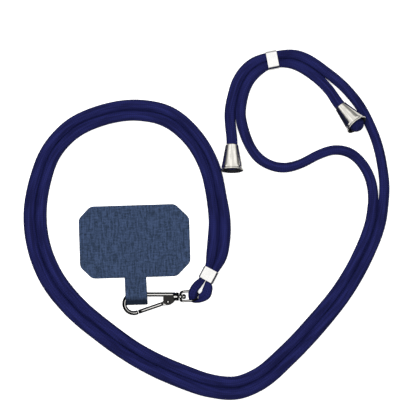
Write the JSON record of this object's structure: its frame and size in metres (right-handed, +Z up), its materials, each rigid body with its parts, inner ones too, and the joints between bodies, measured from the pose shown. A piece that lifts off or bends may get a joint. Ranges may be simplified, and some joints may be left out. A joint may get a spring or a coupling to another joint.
{
  "type": "phone crossbody strap",
  "caption": "Doubled round knitted cord with a slider band and cone end caps, crimped round the eye of a swivel hook that holds a cloth patch by its folded tab.",
  "frame": {"origin": "middle of the patch's underside, on the surface that the strap lies on", "axes": "+X to the right along the patch's long side and the hook's swivel axis, +Y from the tab towards the patch, +Z up from the surface"},
  "size_m": [0.2192, 0.2097, 0.0165],
  "materials": {
    "cord": "matte knitted navy",
    "cloth": "matte blue melange weave",
    "band_metal": "bright nickel, flat bands",
    "cap_metal": "bright nickel, polished cones",
    "hook_metal": "bright nickel, wire hook"
  },
  "bodies": {
    "strap": {"cord_loop": "cord", "strand_outer": "cord", "strand_inner": "cord", "end_knot_left": "cord", "end_knot_right": "cord", "crimp_band": "band_metal", "slider": "band_metal", "end_cap_left": "cap_metal", "end_cap_right": "cap_metal", "eye_ring": "hook_metal"},
    "hook": {"hook_frame": "hook_metal", "gate_rivet": "hook_metal", "tab_loop": "cloth", "patch": "cloth"},
    "gate": {"gate": "hook_metal"}
  },
  "joints": [
    {"name": "swivel", "type": "hinge", "parent": "strap", "child": "hook", "pos_m": [0.02767, -0.03304, 0.00407], "axis": [0.9988, 0, 0.0494], "range_deg": [-150, 150]},
    {"name": "gate_hinge", "type": "hinge", "parent": "hook", "child": "gate", "pos_m": [0.02022, -0.03614, 0.0037], "axis": [0.0494, 0, -0.9988], "range_deg": [0, 8.5]}
  ]
}
